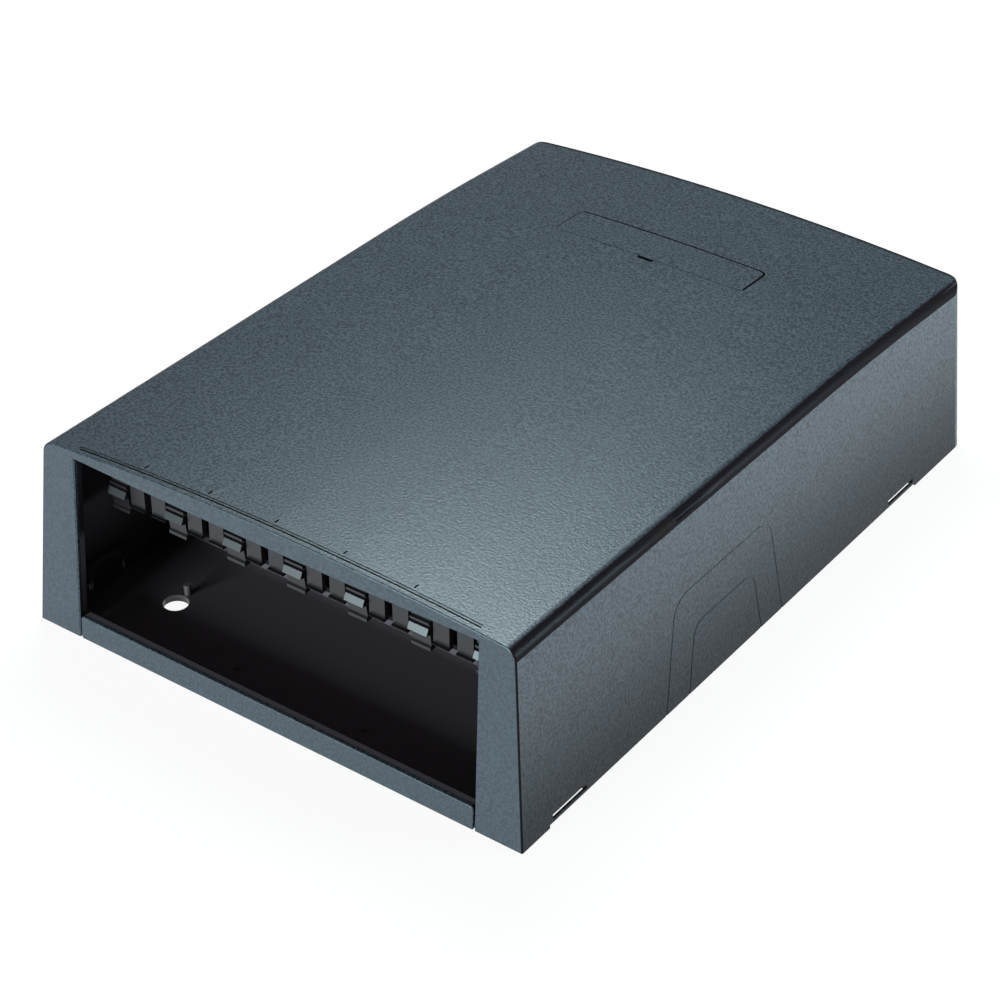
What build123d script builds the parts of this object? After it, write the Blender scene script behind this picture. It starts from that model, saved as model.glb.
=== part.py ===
"""Two-piece surface housing for data modules that sit in two rows of six.

A deep cover snaps over a shallow base. The cover is one moulding: a crowned roof
that bends down towards the rear, drafted side and rear walls, two front posts and
a thin lip above the wide front opening. The base is a floor plate with a low front
lip between the posts. A label plate sits flush in a recess in the rear of the roof.

Millimetres. +Z is up, the opening faces -Y, and the origin is the middle of the
footprint at floor level.
"""
import os
from math import cos, radians, sqrt, tan

from build123d import *

# ---------------------------------------------------------------- module ports
port_pitch = 16.8
port_count = 6           # in each row

# ---------------------------------------------------------------- outer form
post_width = 11.3        # each front post, at floor level
opening_flare = 0.8      # the opening is this much wider at the floor, each side
depth = 175.8            # front face to rear face, at floor level
side_height = 44.8       # roof height where its crown runs out at each side
roof_crown = 2.3         # how far the middle of the roof stands above that
side_draft = 4.8         # degrees that each side wall leans in
front_draft = 3.6        # degrees that the front face leans back
rear_draft = 2.7         # degrees that the rear wall leans forward
roof_corner = 2.8        # outer radius between roof and side wall
rear_corner = 4.0        # outer radius between side and rear walls, in plan
wall = 2.2               # thickness of roof, side walls and rear wall
front_wall = 2.3         # thickness of posts and lip
edge_round = 0.35        # small radius round the front face
opening_chamfer = 0.25   # small chamfer round the opening

# Roof line, seen from the side
crease_from_rear = 30.9  # the soft crease, from the rear face at floor level
bend_length = 36.0       # the roof curves down over this length before the crease
crease_drop = 0.7        # how far the roof has dropped at the crease
rear_slope = 2.8         # degrees, behind the crease

# ---------------------------------------------------------------- cover details
lip_depth = 1.5          # the opening's top corners lie this far below side_height
opening_sag = 0.65       # the lip's lower edge hangs this much lower in the middle

foot_height = 0.7        # side walls stop this far above the floor between feet
front_foot = 9.1         # length of each front foot along the side
rear_foot = 23.2         # length of each rear foot along the side
rear_foot_across = 14.0  # length of each rear foot along the rear wall

snap_length = 11.3       # snap slots, low in the side walls
snap_height = 1.15
snap_bottom = 1.35
snap_foot_gap = 1.1      # from a foot's end to its snap slot

groove_setback = 1.15    # from the roof's front edge to the groove
groove_width = 0.5
groove_depth = 0.9
groove_end_gap = 0.5     # from the groove's end to the outermost port's edge
shelf_width = 0.55       # shallow step behind the groove
shelf_depth = 0.14
tick_length = 1.3        # one tick between neighbouring ports
tick_width = 0.4
tick_depth = 0.4
tick_gap = 0.45          # from the shelf to the ticks

knockout_from_front = 71.9   # middle of the side knock-outs
knockout_lean = 10.0     # degrees that a knock-out's score lines lean together
outer_knockout = (45.2, 26.0, 6.0)    # width at the floor, height, corner radius
inner_knockout = (28.4, 16.5, 4.0)
score_width = 0.45
score_depth = 0.08

label_width = 49.5       # label plate
label_depth = 10.7
label_corner = 1.3
label_gap = 0.3          # round the plate, on average
label_slack = (-0.15, -0.15)   # where the plate sits, from the middle of its recess
label_floor = 1.0        # roof left under the recess
label_edge = 0.15        # chamfer round the plate's top
notch_width = 4.3        # pry notch in front of the plate
notch_length = 0.9
notch_depth = 0.9

# Catches under the roof that hold the upper row. Reach and drop are measured down
# from the opening's top corners, setback from the front wall's inner face there.
catch_pitch = 15.45      # a little closer together than the ports
tooth_width = 3.8        # two teeth between neighbouring blocks
tooth_gap = 1.9
tooth_setback = 5.7
tooth_thick = 1.2
tooth_reach = 13.1
tooth_nose = 0.65        # ledge at a tooth's tip
tooth_nose_height = 0.6
catch_width = 4.6        # stepped blocks
catch_setback = 4.4
catch_reach = 15.2
catch_steps = (          # setback from the block's foremost plane, then drop
    (1.5, 0.0), (1.5, 8.4), (0.85, 8.4), (0.85, 8.95), (1.4, 9.1), (1.4, 9.4), (0.7, 9.6),
    (0.0, 11.0), (1.2, 11.3), (1.6, 14.2), (1.2, 14.5),
)
web_thick = 1.3          # rib that carries a block
web_length = 9.0
web_reach = 12.0

# ---------------------------------------------------------------- base details
clearance = 0.3          # between base and cover
floor_thick = 1.6
front_lip_height = 5.35
front_lip_thick = 2.2
front_lip_corner = 0.9
front_lip_round = 0.25
rim_height = 4.6         # upstand round the floor plate
rim_thick = 1.4
hook_width = 9.0         # snap hooks, one to each snap slot
hook_thick = 1.5
hook_height = 9.0
hook_nose = 1.2          # reach of the nose past the cover's inner face
hook_slit = 1.0          # slits in the rim beside each hook

fixing_hole = 5.6        # four fixing holes
fixing_from_side = 21.0
fixing_from_end = 19.0
peg_diameter = 1.6       # locating peg behind each fixing hole
peg_height = 2.6
peg_gap = 0.2            # from the hole's rim to the peg
pip_diameter = 1.1       # two pips on the floor, one port from the middle
pip_height = 0.6
pip_from_front = 9.2
floor_rib_height = 1.5
floor_rib_thick = 1.2
floor_rib_from_end = 40.0
ledge_height = 3.4       # module ledge behind the front lip
ledge_depth = 1.6

# ---------------------------------------------------------------- derived sizes
over = 10.0              # how far cutting shapes run past what they cut
steepest_edge = 20.0     # degrees from +Y that an edge along the roof may turn
row_half = port_pitch * port_count / 2
half_width = row_half + opening_flare + post_width
half_depth = depth / 2
roof_top = side_height + roof_crown
opening_top = side_height - lip_depth
side_run = tan(radians(side_draft))
front_run = tan(radians(front_draft))
rear_run = tan(radians(rear_draft))
crown_half = half_width - side_run * side_height - roof_corner
crown_radius = (crown_half**2 + roof_crown**2) / (2 * roof_crown)
crease_y = half_depth - crease_from_rear
port_steps = [i - port_count / 2 for i in range(port_count + 1)]
front_snap_y = -half_depth + front_foot + snap_foot_gap + snap_length / 2
rear_snap_y = half_depth - rear_foot - snap_foot_gap - snap_length / 2
snap_places = [(side, y) for side in (-1, 1) for y in (front_snap_y, rear_snap_y)]
fixing_x = half_width - fixing_from_side
fixing_y = half_depth - fixing_from_end


def crown_z(x):
    """Height of the level part of the roof at x."""
    return roof_top - crown_radius + sqrt(crown_radius**2 - x**2)


def side_x(z, inset=0.0):
    """Half width at height z, inset from the outer face."""
    return half_width - side_run * z - inset


def front_y(z, inset=0.0):
    """The front face's y at height z, inset from the outer face."""
    return -half_depth + front_run * z + inset


def rear_y(z, inset=0.0):
    """The rear face's y at height z, inset from the outer face."""
    return half_depth - rear_run * z - inset


def opening_x(z):
    """Half width of the front opening at height z."""
    return row_half + opening_flare * (1 - z / opening_top)


def roof_edge(edge):
    """True for an edge where the roof meets a side wall."""
    at_side = abs(edge.center().X) > crown_half
    high = edge.center().Z > side_height / 2
    return at_side and high and abs(edge.tangent_at(0.5).Y) > cos(radians(steepest_edge))


def faces_front(face):
    """True for an outer face that looks out of the front."""
    return face.center().Y < 0 and face.normal_at().Y < -cos(radians(steepest_edge))


def opening_edge(edge):
    """True for an edge of the front face that runs round the opening."""
    return abs(edge.center().X) < opening_x(0) and edge.center().Z < opening_top


def walls(low, top, inset, front_inset, corner=0.0):
    """The leaning walls' form between two heights, with rounded rear corners if asked."""
    with BuildPart() as form:
        for z in (low, top):
            with BuildSketch(Plane.XY.offset(z)) as plan:
                with BuildLine():
                    Polyline(
                        (-side_x(z, inset), front_y(z, front_inset)),
                        (side_x(z, inset), front_y(z, front_inset)),
                        (side_x(z, inset), rear_y(z, inset)),
                        (-side_x(z, inset), rear_y(z, inset)),
                        close=True,
                    )
                make_face()
                if corner:
                    fillet(plan.vertices().group_by(Axis.Y)[-1], corner)
        loft(ruled=True)
    return form.part


def hood(inset, front_inset):
    """The cover's outer form or, with insets, the space inside it, sharp along the roof."""
    top = roof_top + over
    low = -over if inset else 0.0
    section_side = half_width + over
    section_z = crown_z(section_side) - inset
    tail = over + crease_from_rear
    with BuildPart() as body:
        add(walls(low, top, inset, front_inset))
        with BuildLine() as roof_line:
            level = Line((0, -half_depth - over, roof_top), (0, crease_y - bend_length, roof_top))
            bend = TangentArc(level @ 1, (0, crease_y, roof_top - crease_drop), tangent=level % 1)
            tail_drop = crease_drop + tail * tan(radians(rear_slope))
            Line(bend @ 1, (0, crease_y + tail, roof_top - tail_drop))
        with BuildSketch(Plane.XZ.offset(half_depth + over)) as section:
            with BuildLine():
                ThreePointArc((-section_side, section_z), (0, roof_top - inset), (section_side, section_z))
                Polyline(
                    (section_side, section_z),
                    (section_side, low - over),
                    (-section_side, low - over),
                    (-section_side, section_z),
                )
            make_face()
        sweep(section.sketch, path=roof_line.line, transition=Transition.RIGHT, mode=Mode.INTERSECT)
        if not inset:
            fillet(body.edges().filter_by(roof_edge), roof_corner)
        add(walls(low, top, inset, front_inset, rear_corner - inset), mode=Mode.INTERSECT)
    return body.part


def knockout(size, grow=0.0):
    """A knock-out's outline on a side wall: leaning sides and a rounded top."""
    foot_width, height, corner = size
    lean = tan(radians(knockout_lean))
    top = height + grow
    foot = foot_width / 2 + grow
    head = foot - lean * top
    with BuildSketch(mode=Mode.PRIVATE) as outline:
        with BuildLine():
            Polyline(
                (-foot - lean * over, -over),
                (-head, top),
                (head, top),
                (foot + lean * over, -over),
                close=True,
            )
        make_face()
        fillet(outline.vertices().group_by(Axis.Y)[-1], corner + grow)
    return outline.sketch


outer_form = hood(0.0, 0.0)
inner_form = hood(wall, front_wall)
middle_form = hood(wall / 2, front_wall / 2)

# ---------------------------------------------------------------- catches
front_inner_y = front_y(opening_top, front_wall)
tooth_y = front_inner_y + tooth_setback
catch_y = front_inner_y + catch_setback
tooth_tip = opening_top - tooth_reach
tooth_span = (tooth_gap + tooth_width) / 2

with BuildPart() as catches:
    with BuildSketch(Plane.YZ) as tooth_profile:
        with BuildLine():
            Polyline(
                (tooth_y, roof_top + over),
                (tooth_y, tooth_tip + tooth_nose_height),
                (tooth_y - tooth_nose, tooth_tip + tooth_nose_height),
                (tooth_y - tooth_nose / 2, tooth_tip),
                (tooth_y + tooth_thick, tooth_tip),
                (tooth_y + tooth_thick, roof_top + over),
                close=True,
            )
        make_face()
    for step in port_steps[1:]:
        for side in (-1, 1):
            with Locations(((step - 0.5) * catch_pitch + side * tooth_span, 0, 0)):
                add(extrude(tooth_profile.sketch, amount=tooth_width / 2, both=True, mode=Mode.PRIVATE))
    with BuildSketch(Plane.YZ) as block_profile:
        with BuildLine():
            steps = [(catch_y + setback, opening_top - drop) for setback, drop in catch_steps]
            block_back = steps[0][0] + web_thick
            Polyline(
                (steps[0][0], roof_top + over),
                *steps[1:],
                (steps[-1][0], opening_top - catch_reach),
                (block_back, opening_top - catch_reach),
                (block_back, roof_top + over),
                close=True,
            )
        make_face()
    for step in port_steps:
        with Locations((step * catch_pitch, 0, 0)):
            add(extrude(block_profile.sketch, amount=catch_width / 2, both=True, mode=Mode.PRIVATE))
        with Locations((step * catch_pitch, block_back, opening_top - web_reach)):
            Box(web_thick, web_length, web_reach + over, align=(Align.CENTER, Align.MIN, Align.MIN))
    add(middle_form, mode=Mode.INTERSECT)

# ---------------------------------------------------------------- cover
label_y = crease_y - label_depth / 2
label_top = crown_z(label_width / 2) - crease_drop
recess_floor = label_top - wall + label_floor
front_edge_y = front_y(roof_top)
groove_y = front_edge_y + groove_setback + groove_width / 2
shelf_rear_y = groove_y + groove_width / 2 + shelf_width
tick_y = shelf_rear_y + tick_gap + tick_length / 2
groove_half = row_half - groove_end_gap
snap_relief_x = side_x(0, wall) + hook_nose + clearance


def roof_cut(depth_below):
    """The roof's skin down to a depth, for cutting grooves of even depth."""
    with BuildPart() as skin:
        add(outer_form)
        add(outer_form.moved(Location((0, 0, -depth_below))), mode=Mode.SUBTRACT)
    return skin.part


with BuildPart() as groove_cut:
    with BuildSketch(Plane.XY.offset(side_height - over)):
        with Locations((0, groove_y)):
            SlotOverall(2 * groove_half, groove_width)
    extrude(amount=2 * over)
    add(roof_cut(groove_depth), mode=Mode.INTERSECT)

with BuildPart() as shelf_cut:
    with BuildSketch(Plane.XY.offset(side_height - over)):
        with Locations((0, (groove_y + shelf_rear_y) / 2)):
            SlotOverall(2 * groove_half + shelf_width, shelf_rear_y - groove_y)
    extrude(amount=2 * over)
    add(roof_cut(shelf_depth), mode=Mode.INTERSECT)

with BuildPart() as tick_cut:
    with BuildSketch(Plane.XY.offset(side_height - over)):
        with Locations(*[(step * port_pitch, tick_y) for step in port_steps[1:-1]]):
            SlotOverall(tick_length, tick_width, rotation=90)
    extrude(amount=2 * over)
    add(roof_cut(tick_depth), mode=Mode.INTERSECT)

with BuildPart() as cover:
    add(outer_form)
    front_face = cover.faces().sort_by(Axis.Y)[0]
    fillet(front_face.edges().filter_by(lambda e: e.center().Z > foot_height), edge_round)
    add(inner_form, mode=Mode.SUBTRACT)

    # Front opening, down to the floor
    with BuildSketch(Plane.XZ.offset(half_depth + over)):
        with BuildLine():
            ThreePointArc(
                (-opening_x(opening_top), opening_top),
                (0, opening_top - opening_sag),
                (opening_x(opening_top), opening_top),
            )
            Polyline(
                (opening_x(opening_top), opening_top),
                (opening_x(-over), -over),
                (-opening_x(-over), -over),
                (-opening_x(opening_top), opening_top),
            )
        make_face()
    extrude(amount=-2 * over, mode=Mode.SUBTRACT)
    front_faces = cover.faces().filter_by(faces_front).group_by(SortBy.AREA)[-1]
    opening_edges = front_faces.edges().filter_by(opening_edge)
    chamfer(opening_edges, opening_chamfer)

    # Feet at the corners: the walls between them stop short of the floor
    with BuildSketch():
        with Locations((0, (front_foot - rear_foot) / 2)):
            Rectangle(2 * half_width + over, depth - front_foot - rear_foot)
        with Locations((0, half_depth)):
            Rectangle(2 * (half_width - rear_foot_across), 2 * over)
    extrude(amount=foot_height, mode=Mode.SUBTRACT)

    # Snap slots, with a relief below each for the hook's nose
    for side, y in snap_places:
        with Locations((side * half_width, y, snap_bottom)):
            Box(
                4 * wall, snap_length, snap_height,
                align=(Align.CENTER, Align.CENTER, Align.MIN), mode=Mode.SUBTRACT,
            )
        with Locations((side * snap_relief_x, y, -over)):
            Box(
                over, snap_length, over + snap_bottom + snap_height,
                align=(Align.MAX if side > 0 else Align.MIN, Align.CENTER, Align.MIN), mode=Mode.SUBTRACT,
            )

    # Score lines of the side knock-outs
    for side in (-1, 1):
        wall_plane = Plane(
            origin=(side * half_width, -half_depth + knockout_from_front, 0),
            x_dir=(0, side, 0),
            z_dir=(side * cos(radians(side_draft)), 0, cos(radians(side_draft)) * side_run),
        )
        with BuildSketch(wall_plane):
            for size in (outer_knockout, inner_knockout):
                add(knockout(size))
                add(knockout(size, -score_width), mode=Mode.SUBTRACT)
        extrude(amount=-score_depth, mode=Mode.SUBTRACT)

    # Groove and ticks along the roof's front edge
    add(groove_cut.part, mode=Mode.SUBTRACT)
    add(shelf_cut.part, mode=Mode.SUBTRACT)
    add(tick_cut.part, mode=Mode.SUBTRACT)

    # Recess for the label plate, with its pry notch
    with BuildSketch(Plane.XY.offset(recess_floor)):
        with Locations((0, label_y)):
            RectangleRounded(
                label_width + 2 * label_gap, label_depth + 2 * label_gap, label_corner + label_gap
            )
    extrude(amount=over, mode=Mode.SUBTRACT)
    with BuildSketch(Plane.XY.offset(label_top - notch_depth)):
        with Locations((0, label_y - label_depth / 2 - label_gap - notch_length / 2)):
            Rectangle(notch_width, notch_length + label_gap)
    extrude(amount=over, mode=Mode.SUBTRACT)

    add(catches.part)

cover.part.label = "cover"

# ---------------------------------------------------------------- label plate
with BuildPart() as label_plate:
    with BuildSketch(Plane.XY.offset(recess_floor)):
        with Locations((label_slack[0], label_y + label_slack[1])):
            RectangleRounded(label_width, label_depth, label_corner)
    extrude(amount=over)
    add(outer_form, mode=Mode.INTERSECT)
    label_face = label_plate.faces().group_by(Axis.Z)[-1]
    chamfer(label_face.edges(), label_edge)

label_plate.part.label = "label_plate"

# ---------------------------------------------------------------- base
plate_x = side_x(rim_height, wall) - clearance
plate_front = front_y(rim_height, front_wall) + clearance
plate_rear = rear_y(rim_height, wall) - clearance
plate_length = plate_rear - plate_front
plate_middle = (plate_rear + plate_front) / 2
lip_x = opening_x(front_lip_height) - clearance
hook_x = side_x(hook_height, wall) - clearance
nose_x = side_x(0, wall) + hook_nose
nose_low = snap_bottom + clearance
nose_high = snap_bottom + snap_height - clearance
rib_places = [-half_depth + floor_rib_from_end, half_depth - floor_rib_from_end]

with BuildPart() as front_lip:
    with BuildSketch(Plane.XZ.offset(half_depth + over)):
        Rectangle(2 * lip_x, front_lip_height, align=(Align.CENTER, Align.MIN))
    extrude(amount=-2 * over)
    add(outer_form, mode=Mode.INTERSECT)
    lip_back = outer_form.moved(Location((0, front_lip_thick, 0)))
    add(lip_back, mode=Mode.SUBTRACT)
    fillet(front_lip.edges().filter_by(Axis.Y).group_by(Axis.Z)[-1], front_lip_corner)
    lip_face = front_lip.faces().sort_by(Axis.Y)[0]
    fillet(lip_face.edges().filter_by(lambda e: e.center().Z > front_lip_round), front_lip_round)

with BuildSketch() as plate_outline:
    with Locations((0, plate_middle)):
        Rectangle(2 * plate_x, plate_length)
    fillet(plate_outline.vertices().group_by(Axis.Y)[-1], rear_corner - wall)

with BuildPart() as base:
    # Floor plate, reaching forward between the posts, and the upstand round it
    with BuildSketch():
        add(plate_outline.sketch)
        with Locations((0, plate_front)):
            Rectangle(2 * lip_x, 2 * (half_depth + plate_front) - front_lip_thick)
    extrude(amount=floor_thick)
    with BuildSketch():
        add(plate_outline.sketch)
        with Locations((0, plate_middle)):
            Rectangle(2 * (plate_x - rim_thick), plate_length - 2 * rim_thick, mode=Mode.SUBTRACT)
        with Locations((0, plate_front)):
            Rectangle(2 * opening_x(0), 4 * rim_thick, mode=Mode.SUBTRACT)
    extrude(amount=rim_height)
    add(front_lip.part)

    # Ledge that the lower row of modules stands against
    with Locations((0, front_y(front_lip_height, front_lip_thick), 0)):
        Box(2 * row_half, 2 * ledge_depth, ledge_height, align=(Align.CENTER, Align.CENTER, Align.MIN))

    # Stiffening ribs across the floor
    for y in rib_places:
        with Locations((0, y, 0)):
            Box(
                2 * plate_x, floor_rib_thick, floor_thick + floor_rib_height,
                align=(Align.CENTER, Align.CENTER, Align.MIN),
            )

    # Fixing holes, a locating peg behind each, and two pips on the floor
    with Locations((0, 0, floor_thick)):
        with GridLocations(2 * fixing_x, 2 * fixing_y, 2, 2):
            Hole(fixing_hole / 2, depth=floor_thick)
    peg_shift = (fixing_hole + peg_diameter) / 2 + peg_gap
    with Locations((0, peg_shift, floor_thick)):
        with GridLocations(2 * fixing_x, 2 * fixing_y, 2, 2):
            Cylinder(peg_diameter / 2, peg_height, align=(Align.CENTER, Align.CENTER, Align.MIN))
    with Locations((0, -half_depth + pip_from_front, floor_thick)):
        with GridLocations(2 * port_pitch, 0, 2, 1):
            Cylinder(pip_diameter / 2, pip_height, align=(Align.CENTER, Align.CENTER, Align.MIN))

    # Snap hooks: each stands in its own gap in the rim
    for side, y in snap_places:
        outward = Align.MAX if side > 0 else Align.MIN
        with Locations((side * plate_x, y, floor_thick)):
            Box(
                2 * rim_thick, hook_width + 2 * hook_slit, rim_height,
                align=(Align.CENTER, Align.CENTER, Align.MIN), mode=Mode.SUBTRACT,
            )
        with Locations((side * hook_x, y, 0)):
            Box(hook_thick, hook_width, hook_height, align=(outward, Align.CENTER, Align.MIN))
        with Locations((side * nose_x, y, nose_low)):
            Box(
                nose_x - hook_x, hook_width, nose_high - nose_low,
                align=(outward, Align.CENTER, Align.MIN),
            )

base.part.label = "base"

# ---------------------------------------------------------------- files
os.makedirs("parts", exist_ok=True)
for piece in (cover, base, label_plate):
    export_step(piece.part, f"parts/{piece.part.label}.step")
    print(piece.part.label, piece.part.is_valid, len(piece.part.solids()), round(piece.part.volume))
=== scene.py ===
"""Looks of the data module housing: moulded plastic finishes, studio light and camera.

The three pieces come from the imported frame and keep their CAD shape. Metres, +Z up,
the opening faces -Y.
"""

from collections import namedtuple
from math import radians, tan

import bpy
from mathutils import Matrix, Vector


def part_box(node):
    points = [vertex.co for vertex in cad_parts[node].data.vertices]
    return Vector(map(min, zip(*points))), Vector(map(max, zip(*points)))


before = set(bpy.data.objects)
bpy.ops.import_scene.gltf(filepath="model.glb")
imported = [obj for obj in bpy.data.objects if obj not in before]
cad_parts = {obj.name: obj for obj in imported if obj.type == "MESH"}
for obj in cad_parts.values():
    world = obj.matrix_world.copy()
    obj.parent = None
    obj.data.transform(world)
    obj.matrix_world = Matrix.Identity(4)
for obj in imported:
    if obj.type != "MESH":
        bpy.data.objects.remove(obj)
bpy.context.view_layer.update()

MM = 0.001

# ---------------------------------------------------------------- sizes of the cover
HALF_WIDTH, HALF_DEPTH, ROOF_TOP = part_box("cover")[1]    # its highest corner

# How far the walls lean inwards
SIDE_DRAFT = radians(4.8)
FRONT_DRAFT = radians(3.6)
REAR_DRAFT = radians(2.7)

# Depths under the walls' outer faces at which the inside starts, and the outside is full
SKIN = 1.2 * MM
SKIN_FADE = 0.5 * SKIN
SIDE_SKIN_FADE = 0.6 * SKIN

ROOF_EDGE = 5.2 * MM      # the roof's outer side starts this far below its top
ROOF_FADE = 0.6 * MM
BEND = 5.0 * MM           # the side walls end this far below the roof's top

# Painted shade: the roof is black this close to its rear edge, and the front face to its outer
# edges
REAR_BAND = 1.5 * MM
EDGE_BAND = 1.8 * MM
EDGE_BAND_FADE = 0.6 * EDGE_BAND

# Painted shade: the catches under the roof are black, in front of one line and above another
CATCHES_BACK = -70.0 * MM
CATCHES_BACK_FADE = 10.0 * MM
CATCHES_LOW = 26.0 * MM
CATCHES_LOW_FADE = 3.0 * MM

# ---------------------------------------------------------------- finish of the plastic
WHITE = (1.0, 1.0, 1.0, 1.0)
POLISHED_AND_PAINTED_SHADE = (0.0085, 0.0070, 0.0085, 1.0)      # smooth black bands along the edges, black partly as their finish and partly as painted shade; also the painted shade on the catches
INSIDE_PAINTED_LIGHT = (0.085, 0.072, 0.082, 1.0)           # plain moulded surface inside, lightened as painted light for the dim inside
SPARKED = (0.016, 0.021, 0.026, 1.0)          # spark-eroded outer faces, two tones of grain
SPARKED_LIGHT = (0.049, 0.062, 0.076, 1.0)
REFLECTION_TINT = (0.86, 0.98, 1.0, 1.0)

GRAIN_SCALE = 1700.0      # per metre
GRAIN_TONES = (0.36, 0.64)
GRAIN_MIDDLE = 0.5
GRAIN_DEPTH = 0.08 * MM
GRAIN_RELIEF = 0.8
FRONT_EVENNESS = 0.6      # how much fainter the grain is on the front face

MOTTLE_SCALE = 60.0       # per metre
MOTTLE_ROUGHNESS = 0.06

INSIDE_ROUGHNESS = 0.28
POLISHED_ROUGHNESS = 0.30
SPARKED_ROUGHNESS = 0.32
INSIDE_GLOSS = 0.5
POLISHED_GLOSS = 0.03
SPARKED_GLOSS = 0.36

# Painted shade and painted sheen: brightness of a side wall at its foot and at its top, against
# that of the other faces, scaled into its colour and gloss
FOOT_PAINTED_SHADE = 0.35
TOP_PAINTED_SHEEN = 1.25

# Parts of the outward normal at which a face starts to count and at which it counts
# fully. The roof fades out where it turns down, and the side walls stop at a clear line.
ROOF_UP = (0.88, 0.993)
FACING_UP = (0.02, 0.06)
SIDE_OUT = (0.9925, 0.9955)
REAR_BACK = (0.02, 0.06)
REAR_NOT_UP = (0.14, 0.10)
FRONT_FORE = (0.05, 0.15)
FRONT_NOT_OUT = (0.25, 0.12)
FRONT_FULLY = (0.5, 0.9)

# ---------------------------------------------------------------- camera, lamps and stage
CAMERA_AT = Vector((273.672, -384.411, 331.634)) * MM
CAMERA_FORWARD = Vector((-0.48542, 0.66520, -0.56734))
LENS = 93.524             # millimetres, as is the sensor
SENSOR = 36.0
CLIP_START = 0.01

Lamp = namedtuple("Lamp", "place target width height watts colour")
LAMPS = {
    "high_behind_left": Lamp(
        place=(-0.15, 0.18, 0.48), target=(0.02, -0.05, 0.047),
        width=0.22, height=0.16, watts=3.0, colour=(0.84, 0.97, 1.0),
    ),
    "low_front": Lamp(
        place=(-0.16, -1.15, 0.17), target=(0.0, -0.08, 0.03),
        width=0.50, height=0.24, watts=21.0, colour=(0.82, 0.96, 1.0),
    ),
    "edge_light": Lamp(
        place=(-0.13, -0.34, 0.077), target=(0.03, -0.08, 0.033),
        width=0.06, height=0.06, watts=0.11, colour=(0.92, 1.0, 1.0),
    ),
    "low_right": Lamp(
        place=(0.55, 0.29, 0.16), target=(0.06, 0.06, 0.03),
        width=0.30, height=0.20, watts=4.4, colour=(0.76, 0.93, 1.0),
    ),
}

WORLD_STRENGTH = 0.17
FLOOR_SIZE = 6.0
FLOOR_COLOUR = (0.95, 0.95, 0.95, 1.0)
FLOOR_GLOW = 0.92         # share of plain white in the floor, where the camera looks at it


# ---------------------------------------------------------------- node helpers
class Nodes:
    """Adds nodes to a material or to the world, and joins them up."""

    # Sockets of a Mix node that hold its two colours and the mixed one
    COLOUR_A = 6
    COLOUR_B = 7
    COLOUR_OUT = 2

    def __init__(self, owner):
        owner.use_nodes = True
        self.tree = owner.node_tree
        self.tree.nodes.clear()

    def set(self, socket, value):
        """Gives an input a constant, or joins it to an output."""
        if isinstance(value, bpy.types.NodeSocket):
            self.tree.links.new(value, socket)
        else:
            socket.default_value = value

    def new(self, kind, **inputs):
        """A node of one kind; names with _ stand for the input sockets' names."""
        node = self.tree.nodes.new(kind)
        for name, value in inputs.items():
            self.set(node.inputs[name.replace("_", " ")], value)
        return node

    def split(self, vector):
        """The three parts of a vector."""
        parts = self.new("ShaderNodeSeparateXYZ", Vector=vector).outputs
        return [parts[name] for name in "XYZ"]

    def math(self, operation, *values):
        """The output of a Math node."""
        node = self.new("ShaderNodeMath")
        node.operation = operation
        for socket, value in zip(node.inputs, values):
            self.set(socket, value)
        return node.outputs[0]

    def times(self, a, b):
        """The product of two numbers."""
        return self.math("MULTIPLY", a, b)

    def either(self, first, *others):
        """The largest of some numbers."""
        largest = first
        for other in others:
            largest = self.math("MAXIMUM", largest, other)
        return largest

    def ramp(self, value, start, end, at_start=0.0, at_end=1.0):
        """A smooth step from one number to another, where start may lie above end."""
        node = self.new("ShaderNodeMapRange", Value=value, From_Min=start, From_Max=end)
        node.interpolation_type = "SMOOTHSTEP"
        self.set(node.inputs["To Min"], at_start)
        self.set(node.inputs["To Max"], at_end)
        return node.outputs["Result"]

    def between(self, share, a, b):
        """A number between two numbers."""
        return self.new("ShaderNodeMix", Factor=share, A=a, B=b).outputs["Result"]

    def mix(self, share, a, b):
        """A colour between two colours."""
        node = self.new("ShaderNodeMix", Factor=share)
        node.data_type = "RGBA"
        self.set(node.inputs[self.COLOUR_A], a)
        self.set(node.inputs[self.COLOUR_B], b)
        return node.outputs[self.COLOUR_OUT]

    def scaled(self, colour, factor):
        """A colour times a number."""
        node = self.new("ShaderNodeVectorMath")
        node.operation = "SCALE"
        self.set(node.inputs[0], colour)
        self.set(node.inputs["Scale"], factor)
        return node.outputs[0]

    def noise(self, place, scale, detail, roughness):
        """The value of a Noise Texture."""
        node = self.new(
            "ShaderNodeTexNoise", Vector=place, Scale=scale, Detail=detail, Roughness=roughness,
        )
        return node.outputs["Fac"]


class PieceNodes(Nodes):
    """Nodes for a piece, with its own place x, y, z and its outward normal at hand."""

    def __init__(self, material):
        super().__init__(material)
        self.place = self.new("ShaderNodeTexCoord").outputs["Object"]
        self.x, self.y, self.z = self.split(self.place)
        normal = self.new("ShaderNodeNewGeometry").outputs["Normal"]
        right, self.back, self.up = self.split(normal)
        self.out = self.math("ABSOLUTE", right)
        self.fore = self.times(self.back, -1.0)

    def at_foot(self, distance, draft):
        """A distance from the middle, carried down along a leaning wall to its foot."""
        return self.math("MULTIPLY_ADD", self.z, tan(draft), distance)


# ---------------------------------------------------------------- masks, from 0 to 1
def near_side(n, start, full):
    """1 close under the side walls' outer faces, from a depth where it starts to a full one."""
    side = n.at_foot(n.math("ABSOLUTE", n.x), SIDE_DRAFT)
    return n.ramp(side, HALF_WIDTH - start, HALF_WIDTH - full)


def near_walls(n):
    """1 near the outer faces of the walls, 0 inside them."""
    front = n.at_foot(n.times(n.y, -1.0), FRONT_DRAFT)
    rear = n.at_foot(n.y, REAR_DRAFT)
    return n.either(
        near_side(n, SKIN, SIDE_SKIN_FADE),
        n.ramp(front, HALF_DEPTH - SKIN, HALF_DEPTH - SKIN_FADE),
        n.ramp(rear, HALF_DEPTH - SKIN, HALF_DEPTH - SKIN_FADE),
    )


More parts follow.
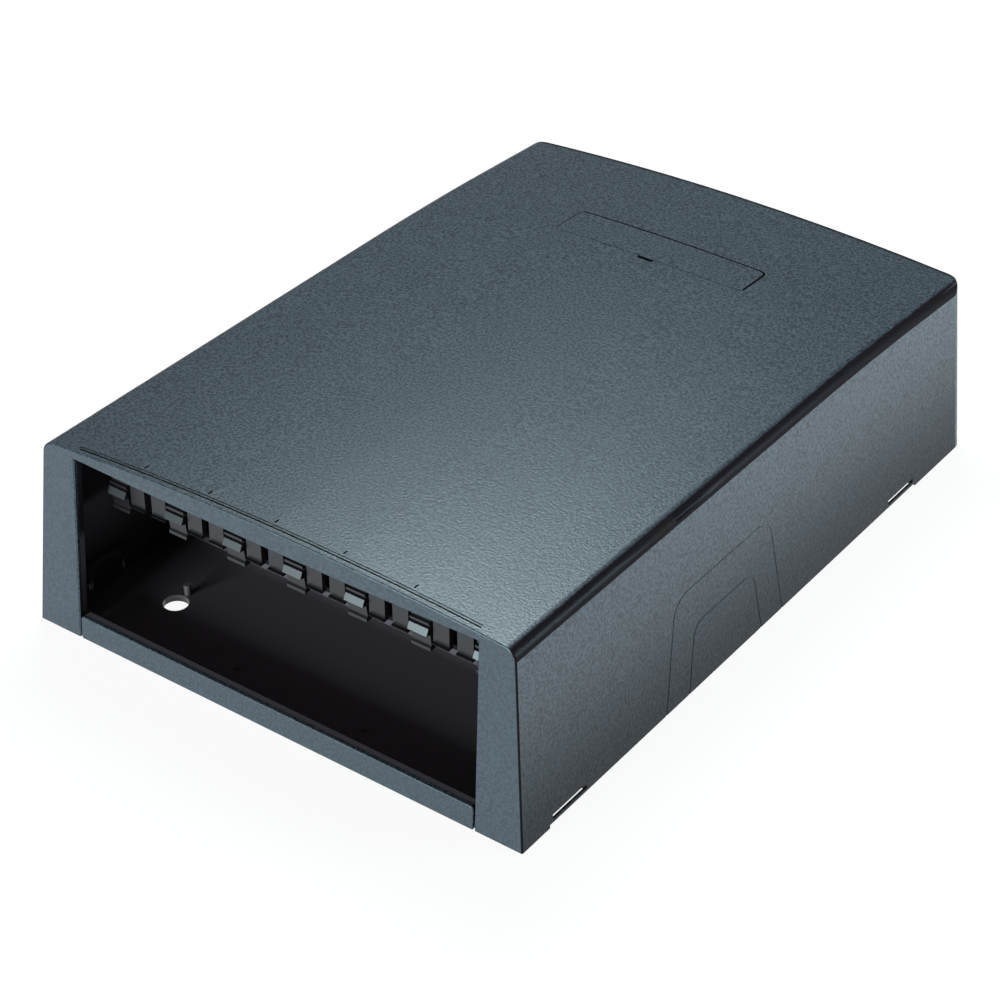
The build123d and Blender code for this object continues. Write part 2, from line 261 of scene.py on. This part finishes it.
def cover_outside(n):
    """1 on the cover's outer side: near its walls' outer faces, or on its roof from above."""
    high = n.ramp(n.z, ROOF_TOP - ROOF_EDGE, ROOF_TOP - ROOF_EDGE + ROOF_FADE)
    return n.either(near_walls(n), n.times(high, n.ramp(n.up, *FACING_UP)))


def everywhere(n):
    """1 on a piece that is all outer side."""
    return 1.0


def side_wall(n):
    """1 on the side walls, up to the edge that turns into the roof."""
    return n.ramp(n.out, *SIDE_OUT)


def textured(n):
    """1 where the mould is spark-eroded, 0 on the polished bands along the edges, which also
    carry painted shade.
    """
    rear_line = n.at_foot(n.y, REAR_DRAFT)
    roof = n.times(n.ramp(n.up, *ROOF_UP), n.ramp(rear_line, HALF_DEPTH, HALF_DEPTH - REAR_BAND))
    rear = n.times(n.ramp(n.back, *REAR_BACK), n.ramp(n.up, *REAR_NOT_UP))
    off_edge = n.math("SUBTRACT", 1.0, near_side(n, EDGE_BAND, EDGE_BAND_FADE))
    flat = n.either(n.ramp(n.out, *FRONT_NOT_OUT), off_edge)
    front = n.times(n.ramp(n.fore, *FRONT_FORE), flat)
    return n.either(roof, side_wall(n), rear, front)


def catches_painted_shade(n):
    """1 round the catches under the roof, which get painted shade in black, 0 elsewhere inside.
    """
    ahead = n.ramp(n.y, CATCHES_BACK + CATCHES_BACK_FADE, CATCHES_BACK)
    above = n.ramp(n.z, CATCHES_LOW - CATCHES_LOW_FADE, CATCHES_LOW)
    return n.times(ahead, above)


# ---------------------------------------------------------------- materials of the pieces
def moulded_plastic(name, outside):
    """Charcoal plastic: spark-eroded grey outside, black on its edges, plain inside; painted
    shade in black on edge bands and catches, painted light inside, painted shade and sheen on
    the side walls.
    """
    material = bpy.data.materials.new(name)
    n = PieceNodes(material)
    outer = outside(n)
    texture = n.times(textured(n), outer)
    # Painted shade towards the side walls' foot and painted sheen towards their top, in both
    # colour and gloss
    painted_shade = n.ramp(n.z, 0.0, ROOF_TOP - BEND, FOOT_PAINTED_SHADE, TOP_PAINTED_SHEEN)
    painted_shade = n.between(side_wall(n), 1.0, painted_shade)

    grain = n.noise(n.place, GRAIN_SCALE, detail=2.0, roughness=0.6)
    evened = n.times(n.ramp(n.fore, *FRONT_FULLY), FRONT_EVENNESS)
    tone = n.between(evened, n.ramp(grain, *GRAIN_TONES), GRAIN_MIDDLE)
    relief = n.between(evened, n.times(texture, GRAIN_RELIEF), 0.0)
    bump = n.new("ShaderNodeBump", Strength=relief, Distance=GRAIN_DEPTH, Height=grain)

    # Painted shade in black on the edge bands and catches, painted light on the rest of the
    # inside
    smooth = n.mix(outer, n.mix(catches_painted_shade(n), INSIDE_PAINTED_LIGHT, POLISHED_AND_PAINTED_SHADE), POLISHED_AND_PAINTED_SHADE)
    colour = n.mix(texture, smooth, n.mix(tone, SPARKED, SPARKED_LIGHT))

    roughness = n.between(outer, INSIDE_ROUGHNESS, POLISHED_ROUGHNESS)
    roughness = n.between(texture, roughness, SPARKED_ROUGHNESS)
    mottle = n.noise(n.place, MOTTLE_SCALE, detail=3.0, roughness=0.5)
    roughness = n.math("MULTIPLY_ADD", mottle, MOTTLE_ROUGHNESS, roughness)
    gloss = n.between(outer, INSIDE_GLOSS, POLISHED_GLOSS)
    gloss = n.between(texture, gloss, SPARKED_GLOSS)

    shader = n.new(
        "ShaderNodeBsdfPrincipled",
        Base_Color=n.scaled(colour, painted_shade),
        Roughness=roughness,
        Specular_IOR_Level=n.times(painted_shade, gloss),
        Specular_Tint=REFLECTION_TINT,
        Normal=bump.outputs[0],
    )
    n.new("ShaderNodeOutputMaterial", Surface=shader.outputs[0])
    return material


def dress(node, material):
    """Gives a CAD node its material."""
    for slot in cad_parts[node].material_slots:
        slot.link = "OBJECT"
        slot.material = material


# ---------------------------------------------------------------- stage
def floor_material():
    """White floor that keeps a soft shadow; the camera and reflections see it near white."""
    material = bpy.data.materials.new("floor_white")
    n = Nodes(material)
    rays = n.new("ShaderNodeLightPath").outputs
    seen = n.either(rays["Is Camera Ray"], rays["Is Glossy Ray"], rays["Is Transmission Ray"])
    matte = n.new("ShaderNodeBsdfDiffuse", Color=FLOOR_COLOUR)
    glow = n.new("ShaderNodeEmission", Color=WHITE, Strength=1.0)
    mixed = n.new("ShaderNodeMixShader")
    n.set(mixed.inputs[0], n.times(seen, FLOOR_GLOW))
    n.set(mixed.inputs[1], matte.outputs[0])
    n.set(mixed.inputs[2], glow.outputs[0])
    n.new("ShaderNodeOutputMaterial", Surface=mixed.outputs[0])
    return material


def add_floor():
    """A large plain floor under the object."""
    half = FLOOR_SIZE / 2
    corners = [(-half, -half, 0.0), (half, -half, 0.0), (half, half, 0.0), (-half, half, 0.0)]
    mesh = bpy.data.meshes.new("floor")
    mesh.from_pydata(corners, [], [(0, 1, 2, 3)])
    mesh.materials.append(floor_material())
    floor = bpy.data.objects.new("floor", mesh)
    bpy.context.scene.collection.objects.link(floor)


def add_world():
    """Even pale surroundings, white where the camera looks past the floor."""
    world = bpy.data.worlds.new("surroundings")
    bpy.context.scene.world = world
    n = Nodes(world)
    seen = n.new("ShaderNodeLightPath").outputs["Is Camera Ray"]
    strength = n.between(seen, WORLD_STRENGTH, 1.0)
    background = n.new("ShaderNodeBackground", Color=WHITE, Strength=strength)
    n.new("ShaderNodeOutputWorld", Surface=background.outputs[0])


def holder(name, data, place, direction):
    """An object for a lamp or camera that looks level in a direction."""
    held = bpy.data.objects.new(name, data)
    held.location = place
    held.rotation_euler = direction.to_track_quat("-Z", "Y").to_euler()
    bpy.context.scene.collection.objects.link(held)
    return held


def add_lamps():
    """Soft rectangular lamps, each aimed at its target."""
    for name, lamp in LAMPS.items():
        light = bpy.data.lights.new(name, "AREA")
        light.shape = "RECTANGLE"
        light.size = lamp.width
        light.size_y = lamp.height
        light.energy = lamp.watts
        light.color = lamp.colour
        held = holder(name, light, lamp.place, Vector(lamp.target) - Vector(lamp.place))
        held.visible_camera = False


def add_camera():
    """The photograph's camera: level, with no shift."""
    camera = bpy.data.cameras.new("camera")
    camera.lens = LENS
    camera.sensor_width = SENSOR
    camera.clip_start = CLIP_START
    bpy.context.scene.camera = holder("camera", camera, CAMERA_AT, CAMERA_FORWARD)


dress("cover", moulded_plastic("cover_plastic_finish", cover_outside))
dress("label_plate", moulded_plastic("label_plastic_finish", everywhere))
dress("base", moulded_plastic("base_plastic_finish", near_walls))

add_floor()
add_world()
add_lamps()
add_camera()
bpy.context.scene.view_settings.view_transform = "Standard"
